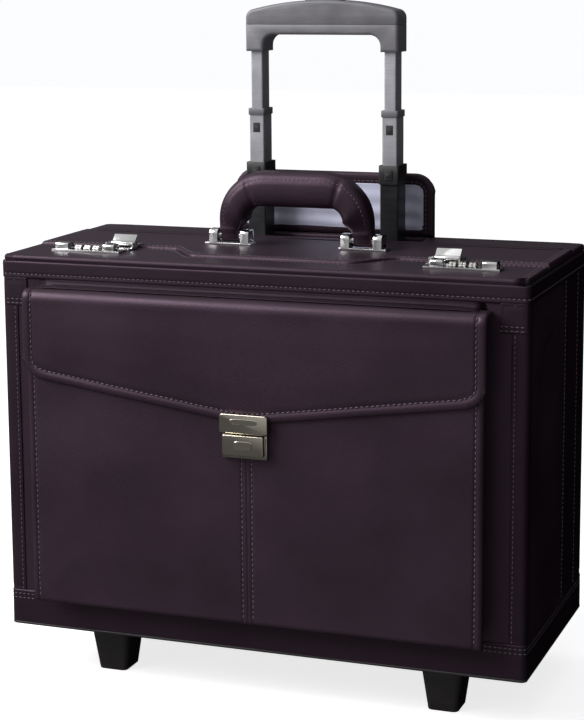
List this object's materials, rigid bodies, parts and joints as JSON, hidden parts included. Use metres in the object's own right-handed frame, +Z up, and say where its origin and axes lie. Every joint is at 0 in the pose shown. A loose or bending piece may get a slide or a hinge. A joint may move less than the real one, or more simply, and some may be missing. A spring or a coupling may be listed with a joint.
{
  "type": "pilot rolling flight case",
  "caption": "Leather-covered pilot case on wheels with top lids, combination locks, a padded carry handle, a flapped front pocket and a telescoping trolley handle.",
  "frame": {"origin": "middle of the base of the object's bounding box, on the surface that it stands on", "axes": "+X to the right seen from the front, +Y from the front pocket to the rear, +Z up"},
  "size_m": [0.47, 0.24, 0.5985],
  "materials": {
    "leather": "smooth satin, near black with a plum tint",
    "lining_cloth": "woven satin, blue grey",
    "fibre_board": "raw pressed board",
    "steel_frame": "plain",
    "bright_metal": "polished",
    "lock_nickel": "satin nickel, slightly warm",
    "black_plastic": "moulded, fine grain",
    "black_tube": "satin black",
    "grey_tube": "anodised grey",
    "wheel_rubber": "matte"
  },
  "bodies": {
    "case": {"front_board": "fibre_board", "back_board": "fibre_board", "side_board_right": "fibre_board", "side_board_left": "fibre_board", "bottom_board": "fibre_board", "partition_board": "fibre_board", "leather_wrap": "leather", "base_band": "leather", "mouth_frame": "steel_frame", "compartment_lining": "lining_cloth", "file_divider": "lining_cloth", "rear_deck": "leather", "pocket_gusset": "leather", "pocket_panel": "leather", "pocket_lock_body": "black_plastic", "front_foot_right": "black_plastic", "front_foot_left": "black_plastic", "wheel_forks": "black_plastic", "wheel_axles": "steel_frame", "fork_screws": "steel_frame", "fixed_tubes": "black_tube", "trolley_base": "steel_frame", "trolley_guide": "black_plastic"},
    "front_lid": {"front_lid_panel": "leather", "lock_case_right": "bright_metal", "lock_case_left": "bright_metal", "dial_pins": "steel_frame", "hasp_pins": "steel_frame"},
    "rear_lid": {"rear_lid_panel": "leather", "hasp_keepers": "bright_metal", "handle_brackets": "bright_metal", "handle_pins": "bright_metal"},
    "carry_handle": {"handle_padding": "leather", "handle_strap": "steel_frame"},
    "hasp_right": {"hasp_right": "bright_metal"},
    "hasp_left": {"hasp_left": "bright_metal"},
    "lock_slider_right": {"lock_slider_right": "bright_metal"},
    "lock_slider_left": {"lock_slider_left": "bright_metal"},
    "pocket_flap": {"pocket_flap": "leather", "pocket_lock_plate": "lock_nickel"},
    "pocket_button": {"pocket_lock_button": "lock_nickel"},
    "cover_flap": {"trolley_cover_flap": "leather"},
    "trolley_lower": {"lower_tubes": "black_tube", "lower_collars": "black_plastic"},
    "trolley_middle": {"middle_tubes": "grey_tube", "middle_collars": "black_plastic"},
    "trolley_upper": {"upper_tubes": "grey_tube", "grip_base": "black_plastic", "grip_cap": "black_plastic"},
    "release_button": {"release_button": "black_plastic"},
    "wheel_right": {"tyre_right": "wheel_rubber", "hub_right": "black_plastic"},
    "wheel_left": {"tyre_left": "wheel_rubber", "hub_left": "black_plastic"},
    "dial_right_1": {"dial_right_1": "bright_metal"},
    "dial_right_2": {"dial_right_2": "bright_metal"},
    "dial_right_3": {"dial_right_3": "bright_metal"},
    "dial_left_1": {"dial_left_1": "bright_metal"},
    "dial_left_2": {"dial_left_2": "bright_metal"},
    "dial_left_3": {"dial_left_3": "bright_metal"}
  },
  "joints": [
    {"name": "front_lid_hinge", "type": "hinge", "parent": "case", "child": "front_lid", "pos_m": [0, -0.091, 0.382], "axis": [-1, 0, 0], "range_deg": [-115, 0]},
    {"name": "rear_lid_hinge", "type": "hinge", "parent": "case", "child": "rear_lid", "pos_m": [0, 0.0735, 0.384], "axis": [1, 0, 0], "range_deg": [-42, 0]},
    {"name": "carry_handle_pivot", "type": "hinge", "parent": "rear_lid", "child": "carry_handle", "pos_m": [0, 0.014, 0.392], "axis": [-1, 0, 0], "range_deg": [-75, 75]},
    {"name": "hasp_right_hinge", "type": "hinge", "parent": "front_lid", "child": "hasp_right", "pos_m": [0.149, -0.0265, 0.38615], "axis": [-1, 0, 0], "range_deg": [0, 45], "stiffness_Nm_per_rad": 0.02},
    {"name": "lock_slider_right_slide", "type": "slide", "parent": "front_lid", "child": "lock_slider_right", "axis": [-1, 0, 0], "range_m": [0, 0.003], "stiffness_N_per_m": 150},
    {"name": "dial_right_1_turn", "type": "hinge", "parent": "front_lid", "child": "dial_right_1", "pos_m": [0.1615, -0.053, 0.3825], "axis": [1, 0, 0], "continuous": true},
    {"name": "dial_right_2_turn", "type": "hinge", "parent": "front_lid", "child": "dial_right_2", "pos_m": [0.17, -0.053, 0.3825], "axis": [1, 0, 0], "continuous": true},
    {"name": "dial_right_3_turn", "type": "hinge", "parent": "front_lid", "child": "dial_right_3", "pos_m": [0.1785, -0.053, 0.3825], "axis": [1, 0, 0], "continuous": true},
    {"name": "hasp_left_hinge", "type": "hinge", "parent": "front_lid", "child": "hasp_left", "pos_m": [-0.149, -0.0265, 0.38615], "axis": [-1, 0, 0], "range_deg": [0, 45], "stiffness_Nm_per_rad": 0.02},
    {"name": "lock_slider_left_slide", "type": "slide", "parent": "front_lid", "child": "lock_slider_left", "axis": [1, 0, 0], "range_m": [0, 0.003], "stiffness_N_per_m": 150},
    {"name": "dial_left_1_turn", "type": "hinge", "parent": "front_lid", "child": "dial_left_1", "pos_m": [-0.1615, -0.053, 0.3825], "axis": [1, 0, 0], "continuous": true},
    {"name": "dial_left_2_turn", "type": "hinge", "parent": "front_lid", "child": "dial_left_2", "pos_m": [-0.17, -0.053, 0.3825], "axis": [1, 0, 0], "continuous": true},
    {"name": "dial_left_3_turn", "type": "hinge", "parent": "front_lid", "child": "dial_left_3", "pos_m": [-0.1785, -0.053, 0.3825], "axis": [1, 0, 0], "continuous": true},
    {"name": "pocket_flap_hinge", "type": "hinge", "parent": "case", "child": "pocket_flap", "pos_m": [0, -0.095, 0.355], "axis": [-1, 0, 0], "range_deg": [0, 95]},
    {"name": "pocket_button_slide", "type": "slide", "parent": "case", "child": "pocket_button", "axis": [0, 0, -1], "range_m": [0, 0.0025], "stiffness_N_per_m": 200},
    {"name": "cover_flap_hinge", "type": "hinge", "parent": "case", "child": "cover_flap", "pos_m": [0, 0.12, 0.383], "axis": [-1, 0, 0], "range_deg": [0, 170]},
    {"name": "trolley_lower_slide", "type": "slide", "parent": "case", "child": "trolley_lower", "axis": [0, 0, 1], "range_m": [-0.115, 0.085]},
    {"name": "trolley_middle_slide", "type": "slide", "parent": "trolley_lower", "child": "trolley_middle", "axis": [0, 0, 1], "range_m": [-0.0425, 0.155]},
    {"name": "trolley_upper_slide", "type": "slide", "parent": "trolley_middle", "child": "trolley_upper", "axis": [0, 0, 1], "range_m": [-0.05, 0.15]},
    {"name": "release_button_slide", "type": "slide", "parent": "trolley_upper", "child": "release_button", "axis": [0, 0, -1], "range_m": [0, 0.003], "stiffness_N_per_m": 250},
    {"name": "wheel_right_spin", "type": "hinge", "parent": "case", "child": "wheel_right", "pos_m": [0.16, 0.095, 0.0215], "axis": [1, 0, 0], "continuous": true},
    {"name": "wheel_left_spin", "type": "hinge", "parent": "case", "child": "wheel_left", "pos_m": [-0.16, 0.095, 0.0215], "axis": [1, 0, 0], "continuous": true}
  ]
}
